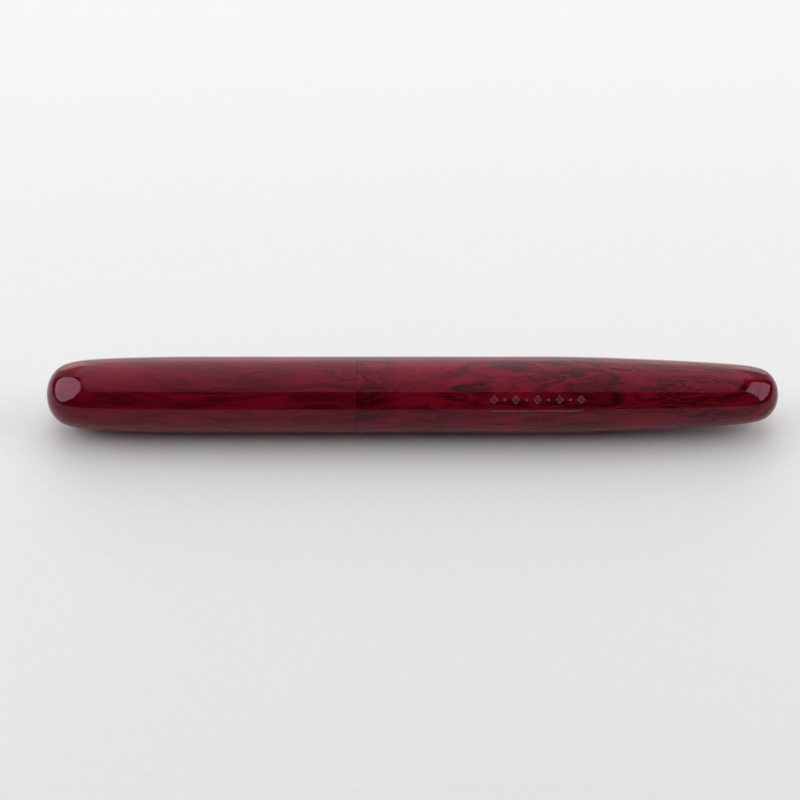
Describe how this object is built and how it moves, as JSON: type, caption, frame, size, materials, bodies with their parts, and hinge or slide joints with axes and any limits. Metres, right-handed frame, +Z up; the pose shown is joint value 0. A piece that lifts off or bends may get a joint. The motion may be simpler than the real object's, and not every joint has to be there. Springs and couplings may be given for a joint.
{
  "type": "fountain pen",
  "caption": "Clipless cigar-shaped fountain pen in marbled hard rubber, with a screw cap, a steel nib and a screw-piston converter behind a screwed barrel.",
  "frame": {"origin": "on the surface the pen lies on, under the middle of its length", "axes": "+X along the pen from the cap's tip to the barrel's tip, +Y across it, +Z up"},
  "size_m": [0.14, 0.0146, 0.0146],
  "materials": {
    "marbled_ebonite": "polished hard rubber, marbled dark red and black",
    "black_ebonite": "polished black hard rubber",
    "liner_plastic": "plain moulded",
    "housing_plastic": "moulded black",
    "feed_ebonite": "machined satin black",
    "nib_steel": "polished stainless steel",
    "tipping_alloy": "ground and polished hard alloy",
    "clear_acrylic": "clear moulded",
    "frosted_plastic": "moulded translucent",
    "plated_metal": "bright plated",
    "knob_plastic": "moulded, fluted",
    "white_plastic": "moulded off-white",
    "seal_rubber": "soft black rubber"
  },
  "bodies": {
    "core": {"grip_section": "black_ebonite", "nib_housing": "housing_plastic", "feed": "feed_ebonite", "nib": "nib_steel", "nib_tipping": "tipping_alloy"},
    "cap_lift": {"inner_cap": "liner_plastic"},
    "cap": {"cap_shell": "marbled_ebonite"},
    "barrel_lift": {"barrel_seal_ring": "seal_rubber"},
    "barrel": {"barrel_shell": "marbled_ebonite"},
    "converter": {"converter_tube": "clear_acrylic", "converter_mouth_ring": "frosted_plastic", "converter_collar": "plated_metal", "spindle_guide": "frosted_plastic", "knob_retainer": "white_plastic"},
    "knob": {"converter_knob": "knob_plastic", "drive_sleeve": "white_plastic"},
    "piston": {"piston_spindle": "white_plastic", "piston_core": "white_plastic", "front_piston_seal": "seal_rubber", "rear_piston_seal": "seal_rubber"}
  },
  "joints": [
    {"name": "cap_rise", "type": "slide", "parent": "core", "child": "cap_lift", "axis": [-1, 0, 0], "range_m": [0, 0.0576]},
    {"name": "cap_unscrew", "type": "hinge", "parent": "cap_lift", "child": "cap", "pos_m": [-0.0146, 0, 0.0073], "axis": [-1, 0, 0], "range_deg": [0, 8640]},
    {"name": "barrel_draw", "type": "slide", "parent": "core", "child": "barrel_lift", "axis": [1, 0, 0], "range_m": [0, 0.072]},
    {"name": "barrel_unscrew", "type": "hinge", "parent": "barrel_lift", "child": "barrel", "pos_m": [-0.0066, 0, 0.0073], "axis": [1, 0, 0], "range_deg": [0, 25920]},
    {"name": "converter_pull", "type": "slide", "parent": "core", "child": "converter", "axis": [1, 0, 0], "range_m": [0, 0.009]},
    {"name": "knob_turn", "type": "hinge", "parent": "converter", "child": "knob", "pos_m": [0.0394, 0, 0.0073], "axis": [-1, 0, 0], "range_deg": [0, 1584]},
    {"name": "piston_travel", "type": "slide", "parent": "converter", "child": "piston", "axis": [1, 0, 0], "range_m": [0, 0.022]}
  ],
  "couplings": [
    {"joint": "cap_unscrew", "follows": "cap_rise", "rad_per_m": 2618},
    {"joint": "barrel_unscrew", "follows": "barrel_draw", "rad_per_m": 6283.2},
    {"joint": "knob_turn", "follows": "piston_travel", "rad_per_m": 1256.6}
  ]
}
